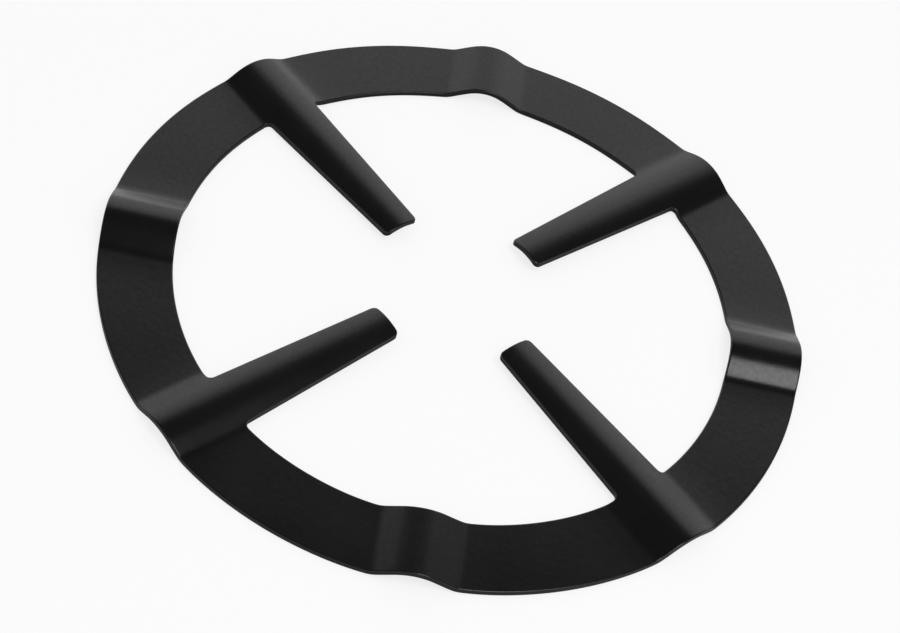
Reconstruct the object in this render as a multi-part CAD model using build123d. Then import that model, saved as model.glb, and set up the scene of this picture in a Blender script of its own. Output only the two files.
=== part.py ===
from build123d import *
from math import cos, hypot, radians, sin
import os

# Stove rack: a ring of sheet steel with four arms that point at its centre, pressed in one piece.
# It lies over a burner, carries a small pot on its arms, and rests on the flat stretches of its ring.
# Frame: +Z up, origin on the axis at the height of those flat stretches' underside, arms along X and Y.
# All sizes are in millimetres.

# The sheet, and the flat blank that is cut from it
sheet = 1.2
ring_diameter = 145.0
ring_width = 15.0

# The arms: equally spaced, tapered, square-ended with rounded corners
arm_count = 4
arm_tip_radius = 18.3
arm_root_width = 11.8
arm_tip_width = 8.1
tip_corner_radius = 1.2
root_corner_radius = 1.0

# The ridge that is pressed along each arm, from its tip out across the ring to the rim; its flanks' slope
# is in degrees
arm_ridge_height = 2.4
arm_ridge_width = 17.2
arm_ridge_slope = 22.0

# The hump that crosses the ring midway between two arms, with its flanks' slope
hump_height = 3.0
hump_width = 18.4
hump_slope = 25.0

# The bend at the foot of every ridge and hump, measured on the sheet's upper face
foot_bend_radius = 3.5

rim_radius = ring_diameter / 2
hole_radius = rim_radius - ring_width
arm_pitch = 360 / arm_count


def pressed_profile(width, height, slope, skin):
    """Section under one face of a pressed ridge, seen along its axis: foot, flank, crown, flank, foot.

    skin is 0 for the sheet's underside and the sheet's thickness for its upper face. Both faces bend
    about the same centres, so the sheet keeps its thickness all the way over. A foot's radius and the
    crown's add up to (a sin s - h cos s) / (1 - cos s), where a is half the width, h the height and s
    the slope: with that sum the straight flank is tangent to both arcs.
    """
    toe = width / 2
    rise, run = sin(radians(slope)), cos(radians(slope))
    both_radii = (toe * rise - height * run) / (1 - run)
    flank_length = (toe - both_radii * rise) / run
    foot_radius = foot_bend_radius + sheet - skin
    crown_radius = both_radii - foot_radius
    first_foot = JernArc((toe, skin), (-1, 0), foot_radius, -slope)
    first_flank = PolarLine(first_foot @ 1, flank_length, direction=first_foot % 1)
    crown = JernArc(first_flank @ 1, first_flank % 1, crown_radius, 2 * slope)
    second_flank = PolarLine(crown @ 1, flank_length, direction=crown % 1)
    second_foot = JernArc(second_flank @ 1, second_flank % 1, foot_radius, -slope)
    under = skin - sheet
    closing = Polyline(second_foot @ 1, (-toe, under), (toe, under), (toe, skin))
    return make_face([first_foot, first_flank, crown, second_flank, second_foot, closing])


def pressed_form(start, end, width, height, slope, skin):
    """The space under one face of a ridge that runs along +X from start to end."""
    across = Plane(origin=(start, 0, 0), x_dir=(0, 1, 0), z_dir=(1, 0, 0))
    return extrude(across * pressed_profile(width, height, slope, skin), end - start)


def arm_ridge(skin):
    """An arm's ridge, run past the arm's tip and past the rim by the sheet's thickness."""
    start = arm_tip_radius - sheet
    end = rim_radius + sheet
    return pressed_form(start, end, arm_ridge_width, arm_ridge_height, arm_ridge_slope, skin)


def hump(skin):
    """A hump across the ring, run inwards past the hole's edge by half its own width."""
    start = hole_radius - hump_width / 2
    end = rim_radius + sheet
    return pressed_form(start, end, hump_width, hump_height, hump_slope, skin)


def blank():
    """The flat outline: a ring whose arms taper towards the centre."""
    half_root = arm_root_width / 2
    half_tip = arm_tip_width / 2
    root = (hole_radius**2 - half_root**2) ** 0.5
    inside_ring = hole_radius + ring_width / 2
    one_side = [(arm_tip_radius, half_tip), (root, half_root), (inside_ring, half_root)]
    other_side = [(x, -y) for x, y in reversed(one_side)]
    arm = make_face(Polyline(*one_side, *other_side, close=True))
    outline = Circle(rim_radius) - Circle(hole_radius)
    for number in range(arm_count):
        outline += Rot(0, 0, number * arm_pitch) * arm
    corners = [v for v in outline.vertices() if hypot(v.X, v.Y) < inside_ring]
    middle = (arm_tip_radius + hole_radius) / 2
    outline = fillet([v for v in corners if hypot(v.X, v.Y) < middle], tip_corner_radius)
    corners = [v for v in outline.vertices() if hypot(v.X, v.Y) < inside_ring]
    return fillet([v for v in corners if hypot(v.X, v.Y) > middle], root_corner_radius)


def rack():
    """The sheet between the two faces of its ridges and humps, trimmed to the blank's outline."""
    tallest = sheet + max(arm_ridge_height, hump_height)
    body = Cylinder(rim_radius + sheet, sheet, align=(Align.CENTER, Align.CENTER, Align.MIN))
    for number in range(arm_count):
        body += Rot(0, 0, number * arm_pitch) * arm_ridge(sheet)
        body += Rot(0, 0, (number + 0.5) * arm_pitch) * hump(sheet)
    body &= extrude(blank(), tallest)
    for number in range(arm_count):
        body -= Rot(0, 0, number * arm_pitch) * arm_ridge(0)
        body -= Rot(0, 0, (number + 0.5) * arm_pitch) * hump(0)
    return body.solid()


os.makedirs("parts", exist_ok=True)
export_step(rack(), "parts/rack.step")
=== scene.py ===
import math

import bpy
import numpy as np
from mathutils import Matrix, Vector


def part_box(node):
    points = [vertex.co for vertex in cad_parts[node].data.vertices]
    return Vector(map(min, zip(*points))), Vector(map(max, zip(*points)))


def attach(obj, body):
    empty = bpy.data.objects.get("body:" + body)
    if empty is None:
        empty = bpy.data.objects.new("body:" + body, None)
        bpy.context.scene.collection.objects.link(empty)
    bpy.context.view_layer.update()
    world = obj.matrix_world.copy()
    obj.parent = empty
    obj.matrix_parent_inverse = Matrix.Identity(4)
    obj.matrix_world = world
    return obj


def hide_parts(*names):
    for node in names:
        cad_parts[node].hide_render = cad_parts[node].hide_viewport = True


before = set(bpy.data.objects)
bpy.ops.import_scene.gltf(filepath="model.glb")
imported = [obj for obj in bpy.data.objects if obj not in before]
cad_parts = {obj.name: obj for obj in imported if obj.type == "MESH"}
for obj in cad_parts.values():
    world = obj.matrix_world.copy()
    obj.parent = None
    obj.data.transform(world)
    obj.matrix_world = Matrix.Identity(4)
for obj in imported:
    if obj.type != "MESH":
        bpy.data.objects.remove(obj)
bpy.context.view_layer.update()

# Rack, its form: one piece of 1.2 mm sheet steel, a ring whose four tapered arms point at its middle.
# It is blanked flat, then pressed between two tools that raise a round ridge along each arm and a hump
# across the ring between two arms. The sheared edges are tumbled, which leaves them slightly round.
mm = 0.001
rim_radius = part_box("rack")[1].x
sheet = 1.2 * mm
ring_width = 15 * mm
hole_radius = rim_radius - ring_width
arm_count = 4
arm_pitch = 2 * math.pi / arm_count
arm_tip_radius = 18.3 * mm
arm_root_width = 11.8 * mm
arm_tip_width = 8.1 * mm
tip_corner_radius = 1.2 * mm
root_corner_radius = 1.0 * mm
arm_ridge_height = 2.4 * mm
arm_ridge_width = 17.2 * mm
arm_ridge_slope = math.radians(22)
hump_height = 3.0 * mm
hump_width = 18.4 * mm
hump_slope = math.radians(25)
foot_bend_radius = 3.5 * mm
cut_edge_radius = 0.3 * mm

# The sheet comes out of the tools less crisp than they are: it springs back and rises gently towards
# each ridge, its bends are soft, and its ridges are a little narrower and turned against the arms.
springback = 0.35 * mm
springback_reach = 2.2 * mm
bend_softness = 1.2 * mm
arm_toe_loss = 0.6 * mm
hump_toe_loss = 0.3 * mm
hump_slope_loss = math.radians(1)
arm_ridge_turn = math.radians(-0.7)
hump_turn = math.radians(-0.35)
arm_ridge = (arm_ridge_width - 2 * arm_toe_loss, arm_ridge_height, arm_ridge_slope)
hump_ridge = (hump_width - 2 * hump_toe_loss, hump_height, hump_slope - hump_slope_loss)

# The mesh's columns cross the ring from its inner outline to its rim, and its rows go round it.
tip_columns = 7
corner_columns = 9
side_columns = 30
foot_columns = 40
foot_margin = 2 * mm
least_column_gap = 0.1 * mm
flat_columns = 24
upper_face_rows = 30
under_face_rows = 20
rounding_rows = 5
bend_shift_count = 9


def pressed_section(across, width, height, slope, skin):
    """Height of one face of the sheet across a ridge with crisp tangent bends, before it springs back.

    Outside the ridge's toes the face is flat, at skin, which is 0 underneath and the sheet's thickness on
    top. Inside them it climbs a foot arc and a straight flank and passes over the crown's arc. Both faces
    bend about the same two centres: the foot's lies over the toe, and the crown's under the crest.
    """
    toe = width / 2
    rise, run = math.sin(slope), math.cos(slope)
    distance = np.abs(across)
    foot = foot_bend_radius + sheet - skin
    crown = (toe * rise - height * run) / (1 - run) - foot
    crown_centre = skin + height - crown
    on_crown = crown_centre + np.sqrt(np.maximum(crown**2 - distance**2, 0))
    on_flank = crown_centre + (crown - distance * rise) / run
    on_foot = skin + foot - np.sqrt(np.maximum(foot**2 - (toe - distance) ** 2, 0))
    stretches = [distance < crown * rise, distance < toe - foot * rise, distance < toe]
    return np.select(stretches, [on_crown, on_flank, on_foot], skin)


def pressed_height(across, width, height, slope, skin):
    """Height of one face of the sheet over a ridge, at a distance across it from its crest.

    The crisp section is lowered by the springback and averaged over a few shifts with raised-cosine
    weights, as a thick sheet bends softly. What was taken from the height comes back as a wide logistic
    rise centred on the toe, so the sheet beside a ridge isn't quite flat.
    """
    toe = width / 2
    crisp_height = height - springback
    shifts = np.linspace(-1, 1, bend_shift_count + 2)[1:-1]
    weights = 1 + np.cos(math.pi * shifts)
    total = springback / (1 + np.exp((np.abs(across) - toe) / springback_reach))
    for shift, weight in zip(shifts * bend_softness, weights / weights.sum()):
        total = total + weight * pressed_section(across + shift, width, crisp_height, slope, skin)
    return total


def face_height(plan, skin):
    """Height of the sheet's face at points of the plan: the higher of the nearest arm's and hump's ridge."""
    radius = np.hypot(plan[..., 0], plan[..., 1])
    turn = np.arctan2(plan[..., 1], plan[..., 0])
    from_arm = (turn - arm_ridge_turn + arm_pitch / 2) % arm_pitch - arm_pitch / 2
    from_hump = (turn - hump_turn) % arm_pitch - arm_pitch / 2
    arm = pressed_height(radius * np.sin(from_arm), *arm_ridge, skin)
    hump = pressed_height(radius * np.sin(from_hump), *hump_ridge, skin)
    return np.maximum(arm, hump)


def turned(plan, angle):
    """Points of the plan turned about the ring's axis."""
    c, s = math.cos(angle), math.sin(angle)
    return plan @ np.array([[c, s], [-s, c]])


def at_across(radius, across):
    """Points of a circle about the axis at given distances across the X axis."""
    return np.stack([np.sqrt(radius**2 - across**2), across], axis=-1)


def on_arc(centre, radius, start, end, count):
    """Points along an arc, and the unit directions from its centre to them."""
    angle = np.linspace(start, end, count)
    direction = np.stack([np.cos(angle), np.sin(angle)], axis=-1)
    return centre + radius * direction, direction


def foot_stations(width):
    """Distances across a ridge, even from outside its toe to its crest."""
    return np.linspace(width / 2 + foot_margin, 0, foot_columns)


def half_pitch():
    """Columns of the sheet from an arm's middle to the middle of the next hump, the arm along X.

    Each column is a straight line in plan, from a point of the inner outline to a point of the rim. The
    outline runs along the arm's end, round its corner, along its tapered side, round the fillet at its
    root and along the hole. Beside a ridge's foot the columns run parallel to the ridge, and on the flat
    between them they turn evenly. Returns the outline's points, the directions from them into the sheet,
    and the rim's points.
    """
    half_tip, half_root = arm_tip_width / 2, arm_root_width / 2
    root = math.sqrt(hole_radius**2 - half_root**2)
    taper = math.atan2(half_root - half_tip, root - arm_tip_radius)
    along = np.array([math.cos(taper), math.sin(taper)])
    outward = np.array([-math.sin(taper), math.cos(taper)])
    corner = np.array([arm_tip_radius, half_tip])

    tip_drop = tip_corner_radius * (1 - math.sin(taper)) / math.cos(taper)
    tip_centre = corner + np.array([tip_corner_radius, -tip_drop])
    tip_across = np.linspace(0, tip_centre[1], tip_columns, endpoint=False)
    tip_edge = np.stack([np.full(tip_columns, arm_tip_radius), tip_across], axis=-1)
    tip_turn = math.pi / 2 + taper
    tip_arc, tip_away = on_arc(tip_centre, tip_corner_radius, math.pi, tip_turn, corner_columns)

    beside = corner + root_corner_radius * outward
    shift = -beside @ along
    run = shift + math.sqrt(shift**2 - beside @ beside + (hole_radius - root_corner_radius) ** 2)
    root_centre = beside + run * along
    side_turn = taper - math.pi / 2
    hole_turn = math.atan2(root_centre[1], root_centre[0])
    root_arc, root_away = on_arc(root_centre, root_corner_radius, side_turn, hole_turn, corner_columns)
    side_share = np.linspace(0, 1, side_columns + 2)[1:-1, None]
    side = tip_arc[-1] + side_share * (root_arc[0] - tip_arc[-1])

    feet = foot_stations(arm_ridge_width)
    arm_foot = at_across(hole_radius, np.sort(feet[feet > root_arc[-1, 1] + least_column_gap]))
    hump_foot = -foot_stations(hump_width)
    hump_inner = turned(at_across(hole_radius, hump_foot), arm_pitch / 2)
    hump_rim = turned(at_across(rim_radius, hump_foot), arm_pitch / 2)
    first = math.atan2(arm_foot[-1, 1], arm_foot[-1, 0])
    last = math.atan2(hump_inner[0, 1], hump_inner[0, 0])
    flat, flat_away = on_arc(np.zeros(2), hole_radius, first, last, flat_columns + 2)

    fan = np.concatenate([tip_edge, tip_arc, side, root_arc[:1]])
    travel = np.cumsum(np.hypot(*np.diff(fan, axis=0, prepend=fan[:1]).T))
    fan_rim = at_across(rim_radius, fan[-1, 1] * travel / travel[-1])
    ridge_rim = at_across(rim_radius, np.concatenate([root_arc[1:, 1], arm_foot[:, 1]]))
    first_rim = math.atan2(ridge_rim[-1, 1], ridge_rim[-1, 0])
    last_rim = math.atan2(hump_rim[0, 1], hump_rim[0, 0])
    flat_rim, _ = on_arc(np.zeros(2), rim_radius, first_rim, last_rim, flat_columns + 2)

    outline = np.concatenate([fan, root_arc[1:], arm_foot, flat[1:-1], hump_inner])
    inward = np.concatenate([
        np.tile([1.0, 0.0], (len(tip_edge), 1)),
        -tip_away,
        np.tile(-outward, (len(side), 1)),
        root_away,
        arm_foot / hole_radius,
        flat_away[1:-1],
        hump_inner / hole_radius,
    ])
    rim = np.concatenate([fan_rim, ridge_rim, flat_rim[1:-1], hump_rim])
    return outline, inward, rim


def whole_round(half):
    """Mirrors a half pitch about the arm and repeats it for every arm, with each shared column once."""
    pitch = np.concatenate([half[:0:-1] * [1, -1], half[:-1]])
    return np.concatenate([turned(pitch, number * arm_pitch) for number in range(arm_count)])


outline, inward, rim = (whole_round(half) for half in half_pitch())
rim_inward = -rim / rim_radius
inner_edge = outline + cut_edge_radius * inward
outer_edge = rim + cut_edge_radius * rim_inward


def face_rows(count, skin):
    """Rows of one face from the rim to the inner outline, closer together towards both."""
    share = (1 - np.cos(np.linspace(0, math.pi, count))) / 2
    plan = outer_edge + share[:, None, None] * (inner_edge - outer_edge)
    return np.concatenate([plan, face_height(plan, skin)[..., None]], axis=-1)


def edge_rows(edge, into_sheet):
    """Rows down a cut edge: the upper face's quarter round, the wall, and the underside's quarter round."""
    angle = np.linspace(0, math.pi / 2, rounding_rows + 1)[1:, None]
    plan = edge - into_sheet * (cut_edge_radius * np.sin(angle))[..., None]
    drop = cut_edge_radius * (1 - np.cos(angle))
    upper = np.concatenate([plan, (face_height(plan, sheet) - drop)[..., None]], axis=-1)
    under = np.concatenate([plan, (face_height(plan, 0) + drop)[..., None]], axis=-1)
    return np.concatenate([upper, (upper[-1:] + under[-1:]) / 2, under[::-1]])


upper_rows = face_rows(upper_face_rows, sheet)
inner_rows = edge_rows(inner_edge, inward)
under_rows = face_rows(under_face_rows, 0)[::-1]
outer_rows = edge_rows(outer_edge, rim_inward)[::-1]
section = np.concatenate([upper_rows, inner_rows, under_rows, outer_rows])


def closed_sheet(name, rows):
    """A mesh of quads between neighbouring rows and columns, closed on itself both ways."""
    here = np.arange(rows.shape[0] * rows.shape[1]).reshape(rows.shape[:2])
    beside = np.roll(here, -1, axis=1)
    quads = np.stack([here, np.roll(here, -1, axis=0), np.roll(beside, -1, axis=0), beside], axis=-1)
    made = bpy.data.meshes.new(name)
    made.from_pydata(rows.reshape(-1, 3).tolist(), [], quads.reshape(-1, 4).tolist())
    made.shade_smooth()
    return made


rack_mesh = closed_sheet("rack_pressing", section)
rack = bpy.data.objects.new("rack_pressing", rack_mesh)
bpy.context.scene.collection.objects.link(rack)
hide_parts("rack")
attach(rack, "root")

# Rack, its finish: satin black heat-resistant silicone paint, sprayed on the bare steel and baked hard.
# The colour is close to black, so the eye sees the paint by its soft reflections: it shows the bright
# backdrop and lamp with blurred edges, a faint orange peel, and a dry grain left by the spray.
thin_film_colour = "#070708"
thick_film_colour = "#0b0b0c"
paint_ior = 1.5
paint_roughness = (0.20, 0.24)
paint_shine = (0.45, 0.55)
cut_edge_roughness = 0.55
cut_edge_shine = 0.1
flow_size = 14 * mm
flow_spread = (0.3, 0.7)
orange_peel_size = 1.4 * mm
orange_peel_depth = 0.012 * mm

# Real spray grain is about 0.05 mm across, too fine to show in the render. It is drawn at 0.22 mm, and
# the specks that it leaves in the shine at 0.7 mm.
grain_size = 0.22 * mm
grain_depth = 0.003 * mm
speck_size = 0.7 * mm
speck_spread = (0.35, 0.65)

# Paint thins over the cut edges. It keeps its gloss on most of their upper rounding, and it is thin and
# dull on their wall and below: the wear is the square of the way round the rounding, and full from there.
rounding_wear = np.linspace(0, 1, rounding_rows + 1)[1:] ** 2
edge_wear = np.concatenate([rounding_wear, np.ones(rounding_rows + 1)])
upper_wear = np.zeros(upper_face_rows)
under_wear = np.zeros(under_face_rows)
wear = np.concatenate([upper_wear, edge_wear, under_wear, edge_wear[::-1]])
thin_paint = rack_mesh.attributes.new("thin_paint", "FLOAT", "POINT")
thin_paint.data.foreach_set("value", np.repeat(wear, section.shape[1]))


def linear(colour):
    """An sRGB hex colour as linear red, green, blue and alpha."""
    parts = [int(colour[i:i + 2], 16) / 255 for i in (1, 3, 5)]
    return [p / 12.92 if p <= 0.04045 else ((p + 0.055) / 1.055) ** 2.4 for p in parts] + [1]


# A Mix node of colours takes them at these inputs and gives the mixed one at this output.
first_colour = 6
second_colour = 7
mixed_colour = 2


def add(tree, kind, settings, sockets):
    """Adds a node, sets its properties, and sets each input socket or links it to another node's output."""
    made = tree.nodes.new(kind)
    for name, value in settings.items():
        setattr(made, name, value)
    for name, value in sockets.items():
        if isinstance(value, bpy.types.NodeSocket):
            tree.links.new(value, made.inputs[name])
        else:
            made.inputs[name].default_value = value
    return made


def baked_paint():
    """Satin black paint on steel, its patterns in real sizes on the piece's own coordinates."""
    paint = bpy.data.materials.new("satin_black_baked_paint")
    paint.use_nodes = True
    tree = paint.node_tree
    tree.nodes.clear()
    place = add(tree, "ShaderNodeTexCoord", {}, {}).outputs["Object"]
    flow = add(tree, "ShaderNodeTexNoise", {}, {"Vector": place, "Scale": 1 / flow_size, "Detail": 2})
    tint = add(tree, "ShaderNodeMix", {"data_type": "RGBA"}, {
        "Factor": flow.outputs["Fac"],
        first_colour: linear(thin_film_colour), second_colour: linear(thick_film_colour)})
    gloss = add(tree, "ShaderNodeMapRange", {}, {
        "Value": flow.outputs["Fac"], "From Min": flow_spread[0], "From Max": flow_spread[1],
        "To Min": paint_roughness[0], "To Max": paint_roughness[1]})
    swell = add(tree, "ShaderNodeTexNoise", {}, {
        "Vector": place, "Scale": 1 / orange_peel_size, "Detail": 1})
    peel = add(tree, "ShaderNodeBump", {}, {
        "Height": swell.outputs["Fac"], "Strength": 1.0, "Distance": orange_peel_depth})
    dust = add(tree, "ShaderNodeTexNoise", {}, {"Vector": place, "Scale": 1 / grain_size, "Detail": 2})
    grain = add(tree, "ShaderNodeBump", {}, {
        "Height": dust.outputs["Fac"], "Strength": 1.0, "Distance": grain_depth,
        "Normal": peel.outputs["Normal"]})
    thin = add(tree, "ShaderNodeAttribute", {"attribute_name": "thin_paint"}, {}).outputs["Fac"]
    dulled = add(tree, "ShaderNodeMix", {"data_type": "FLOAT"}, {
        "Factor": thin, "A": gloss.outputs["Result"], "B": cut_edge_roughness})
    specks = add(tree, "ShaderNodeTexNoise", {}, {"Vector": place, "Scale": 1 / speck_size, "Detail": 2})
    speckle = add(tree, "ShaderNodeMapRange", {}, {
        "Value": specks.outputs["Fac"], "From Min": speck_spread[0], "From Max": speck_spread[1],
        "To Min": paint_shine[0], "To Max": paint_shine[1]})
    shine = add(tree, "ShaderNodeMix", {"data_type": "FLOAT"}, {
        "Factor": thin, "A": speckle.outputs["Result"], "B": cut_edge_shine})
    coat = add(tree, "ShaderNodeBsdfPrincipled", {}, {
        "Base Color": tint.outputs[mixed_colour], "Roughness": dulled.outputs[0], "IOR": paint_ior,
        "Specular IOR Level": shine.outputs[0], "Normal": grain.outputs["Normal"]})
    add(tree, "ShaderNodeOutputMaterial", {}, {"Surface": coat.outputs["BSDF"]})
    return paint


rack_mesh.materials.append(baked_paint())

# Floor: a plain studio floor of matt white, wide enough to fill every view.
# Near the rack the camera and the paint see it mostly at full white and partly with the rack's shadow,
# and further off wholly at full white.
floor_half = 20.0
floor_drop = 0.02 * mm
floor_colour = "#f2f2f2"
white_share_near = 0.78
white_ramp_start = 150 * mm
white_ramp_end = 700 * mm
mirrored_extra = 0.45
floor_mesh = bpy.data.meshes.new("floor")
floor_mesh.from_pydata(
    [(x * floor_half, y * floor_half, -floor_drop) for x, y in ((-1, -1), (1, -1), (1, 1), (-1, 1))],
    [], [(0, 1, 2, 3)])
floor = bpy.data.objects.new("floor", floor_mesh)
bpy.context.scene.collection.objects.link(floor)


def pale_floor():
    """Matt white mixed with full white, which only camera and reflection rays see.

    The share of full white rises in a straight ramp with the distance from the ring's axis. Reflection
    rays see that white brighter than the camera does.
    """
    paper = bpy.data.materials.new("matt_white_floor")
    paper.use_nodes = True
    tree = paper.node_tree
    tree.nodes.clear()
    rays = add(tree, "ShaderNodeLightPath", {}, {})
    seen = add(tree, "ShaderNodeMath", {"operation": "MAXIMUM"}, {
        0: rays.outputs["Is Camera Ray"], 1: rays.outputs["Is Glossy Ray"]})
    place = add(tree, "ShaderNodeTexCoord", {}, {}).outputs["Object"]
    away = add(tree, "ShaderNodeVectorMath", {"operation": "LENGTH"}, {0: place})
    white_share = add(tree, "ShaderNodeMapRange", {}, {
        "Value": away.outputs["Value"], "From Min": white_ramp_start, "From Max": white_ramp_end,
        "To Min": white_share_near, "To Max": 1.0})
    share = add(tree, "ShaderNodeMath", {"operation": "MULTIPLY"}, {
        0: seen.outputs[0], 1: white_share.outputs["Result"]})
    matt = add(tree, "ShaderNodeBsdfDiffuse", {}, {"Color": linear(floor_colour)})
    brightness = add(tree, "ShaderNodeMath", {"operation": "MULTIPLY_ADD"}, {
        0: rays.outputs["Is Glossy Ray"], 1: mirrored_extra, 2: 1.0})
    white = add(tree, "ShaderNodeEmission", {}, {
        "Color": linear("#ffffff"), "Strength": brightness.outputs[0]})
    both = add(tree, "ShaderNodeMixShader", {}, {
        0: share.outputs[0], 1: matt.outputs[0], 2: white.outputs[0]})
    add(tree, "ShaderNodeOutputMaterial", {}, {"Surface": both.outputs[0]})
    return paper


floor_mesh.materials.append(pale_floor())

# Camera: it looks down at the ring at 47.5 degrees from between two arms, rolled as the photograph is.
# The ring fills the frame, and the lens is as long as the photograph's perspective needs.
view_azimuth = math.radians(38.4)
view_elevation = math.radians(47.54)
view_roll = math.radians(16.75)
view_distance = 442.6 * mm
frame_width_px = 900
frame_height_px = 633
ring_span_px = 709
ring_centre_px = (454.5, 294.5)

back = Vector((math.sin(view_azimuth) * math.cos(view_elevation),
               -math.cos(view_azimuth) * math.cos(view_elevation),
               math.sin(view_elevation)))
level = Vector((math.cos(view_azimuth), math.sin(view_azimuth), 0))
upright = back.cross(level)
right = math.cos(view_roll) * level + math.sin(view_roll) * upright
up = math.cos(view_roll) * upright - math.sin(view_roll) * level
facing = Matrix((right, up, back)).transposed().to_4x4()
ring_share = ring_span_px / frame_width_px
camera = bpy.data.objects.new("camera", bpy.data.cameras.new("camera"))
camera.matrix_world = Matrix.Translation(back * view_distance) @ facing
camera.data.lens = camera.data.sensor_width * ring_share * view_distance / (2 * rim_radius)
camera.data.shift_x = (frame_width_px / 2 - ring_centre_px[0]) / frame_width_px
camera.data.shift_y = (ring_centre_px[1] - frame_height_px / 2) / frame_width_px
camera.data.clip_start = 10 * mm
camera.data.clip_end = 100
bpy.context.scene.collection.objects.link(camera)
bpy.context.scene.camera = camera

# Light: one soft box above the viewer's right shoulder, a lit white backdrop behind the object, a lit
# wall round the viewer, and an even light from the ceiling that the paint does not mirror. The rest of
# the studio is dim, so the paint shows the backdrop and its upper edge in soft bands.
softbox_turn = 50
softbox_elevation = 64
softbox_distance = 800 * mm
softbox_size = (340 * mm, 340 * mm)
softbox_radiance = 5.5


def studio_way(turn_from_camera, elevation):
    """Direction from the object, in degrees to the viewer's right of the camera and up from the floor."""
    turn = view_azimuth + math.radians(turn_from_camera)
    rise = math.radians(elevation)
    return Vector((math.sin(turn) * math.cos(rise), -math.cos(turn) * math.cos(rise), math.sin(rise)))


softbox_way = studio_way(softbox_turn, softbox_elevation)
lamp = bpy.data.lights.new("softbox", "AREA")
lamp.shape = "RECTANGLE"
lamp.size, lamp.size_y = softbox_size
lamp.energy = softbox_radiance * math.pi * softbox_size[0] * softbox_size[1]
softbox = bpy.data.objects.new("softbox", lamp)
softbox.location = softbox_way * softbox_distance
softbox.rotation_mode = "QUATERNION"
softbox.rotation_quaternion = softbox_way.to_track_quat("Z", "Y")
bpy.context.scene.collection.objects.link(softbox)

fill_level = 0.45
fill_spread = math.radians(120)
fill = bpy.data.lights.new("ceiling_fill", "SUN")
fill.energy = fill_level * math.pi
fill.angle = fill_spread
ceiling_fill = bpy.data.objects.new("ceiling_fill", fill)
ceiling_fill.visible_glossy = False
bpy.context.scene.collection.objects.link(ceiling_fill)

# Each fade holds an axis, the place on it where the paper is furthest off full white, the place where it
# is back at full white, and the brightness at the first. The backdrop's X runs to the viewer's left.
backdrop_turn = 180
backdrop_distance = 1200 * mm
backdrop_height = 1640 * mm
backdrop_right = 1430 * mm
backdrop_left = 2080 * mm
backdrop_right_shade = ("X", -1000 * mm, -640 * mm, 0.4)
backdrop_low_shade = ("Z", 150 * mm, 450 * mm, 0.7)
backdrop_foot_glow = ("Z", 20 * mm, 200 * mm, 1.6)
backdrop_top_shade = ("Z", backdrop_height, 1000 * mm, 0.15)
backdrop_mesh = bpy.data.meshes.new("backdrop")
backdrop_mesh.from_pydata([
    (-backdrop_right, 0, 0),
    (backdrop_left, 0, 0),
    (backdrop_left, 0, backdrop_height),
    (-backdrop_right, 0, backdrop_height),
], [], [(0, 1, 2, 3)])
backdrop = bpy.data.objects.new("backdrop", backdrop_mesh)
backdrop.location = studio_way(backdrop_turn, 0) * backdrop_distance
backdrop.rotation_euler = (0, 0, view_azimuth + math.radians(backdrop_turn))
bpy.context.scene.collection.objects.link(backdrop)


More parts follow.
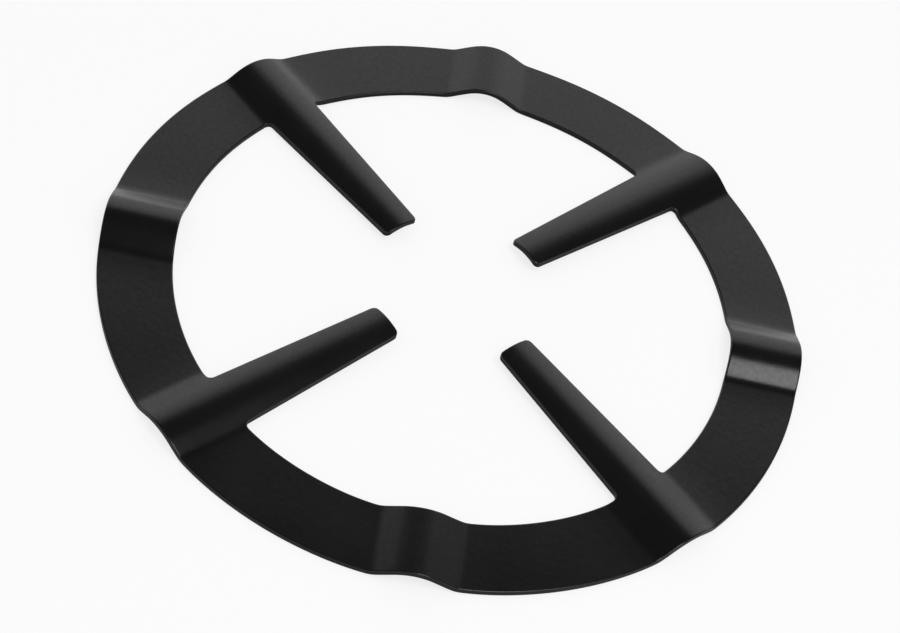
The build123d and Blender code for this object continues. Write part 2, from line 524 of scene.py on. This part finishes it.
def lit_paper(name, fades):
    """White paper lit to full white, multiplied by a straight ramp of brightness for each fade.

    Only the paint's reflections show its fades. The camera sees it as the same white as the studio.
    """
    paper = bpy.data.materials.new(name)
    paper.use_nodes = True
    tree = paper.node_tree
    tree.nodes.clear()
    place = add(tree, "ShaderNodeTexCoord", {}, {}).outputs["Object"]
    parts = add(tree, "ShaderNodeSeparateXYZ", {}, {"Vector": place})
    brightness = 1.0
    for axis, changed_at, full_at, changed in fades:
        fade = add(tree, "ShaderNodeMapRange", {}, {
            "Value": parts.outputs[axis], "From Min": changed_at, "From Max": full_at,
            "To Min": changed, "To Max": 1.0})
        product = add(tree, "ShaderNodeMath", {"operation": "MULTIPLY"}, {
            0: brightness, 1: fade.outputs[0]})
        brightness = product.outputs[0]
    rays = add(tree, "ShaderNodeLightPath", {}, {})
    lit = add(tree, "ShaderNodeEmission", {}, {"Color": linear("#ffffff"), "Strength": brightness})
    plain = add(tree, "ShaderNodeEmission", {}, {"Color": linear("#ffffff"), "Strength": 1.0})
    both = add(tree, "ShaderNodeMixShader", {}, {
        0: rays.outputs["Is Camera Ray"], 1: lit.outputs[0], 2: plain.outputs[0]})
    add(tree, "ShaderNodeOutputMaterial", {}, {"Surface": both.outputs[0]})
    return paper


backdrop_mesh.materials.append(lit_paper("lit_white_backdrop", [
    backdrop_right_shade, backdrop_low_shade, backdrop_foot_glow, backdrop_top_shade]))

wall_radius = 1600 * mm
wall_height = 1400 * mm
wall_half_turn = 100
wall_columns = 41
wall_top_shade = ("Z", wall_height, 1000 * mm, 0.1)
wall_low_shade = ("Z", 0, 1000 * mm, 0.6)
wall_turns = view_azimuth + np.radians(np.linspace(-wall_half_turn, wall_half_turn, wall_columns))
wall_rows = [
    [(wall_radius * math.sin(turn), -wall_radius * math.cos(turn), height) for turn in wall_turns]
    for height in (0, wall_height)]
wall_mesh = bpy.data.meshes.new("wall")
wall_mesh.from_pydata(wall_rows[0] + wall_rows[1], [], [
    (i, i + 1, i + 1 + wall_columns, i + wall_columns) for i in range(wall_columns - 1)])
wall_mesh.materials.append(lit_paper("lit_white_wall", [wall_top_shade, wall_low_shade]))
wall = bpy.data.objects.new("wall", wall_mesh)
bpy.context.scene.collection.objects.link(wall)


def studio_walls():
    """A dim grey studio all round, which the camera alone sees as white."""
    room = bpy.data.worlds.new("studio")
    room.use_nodes = True
    tree = room.node_tree
    tree.nodes.clear()
    rays = add(tree, "ShaderNodeLightPath", {}, {})
    tone = add(tree, "ShaderNodeMix", {"data_type": "RGBA"}, {
        "Factor": rays.outputs["Is Camera Ray"],
        first_colour: linear("#525252"), second_colour: linear("#ffffff")})
    air = add(tree, "ShaderNodeBackground", {}, {"Color": tone.outputs[mixed_colour], "Strength": 1.0})
    add(tree, "ShaderNodeOutputWorld", {}, {"Surface": air.outputs[0]})
    return room


bpy.context.scene.world = studio_walls()
bpy.context.scene.view_settings.view_transform = "Standard"
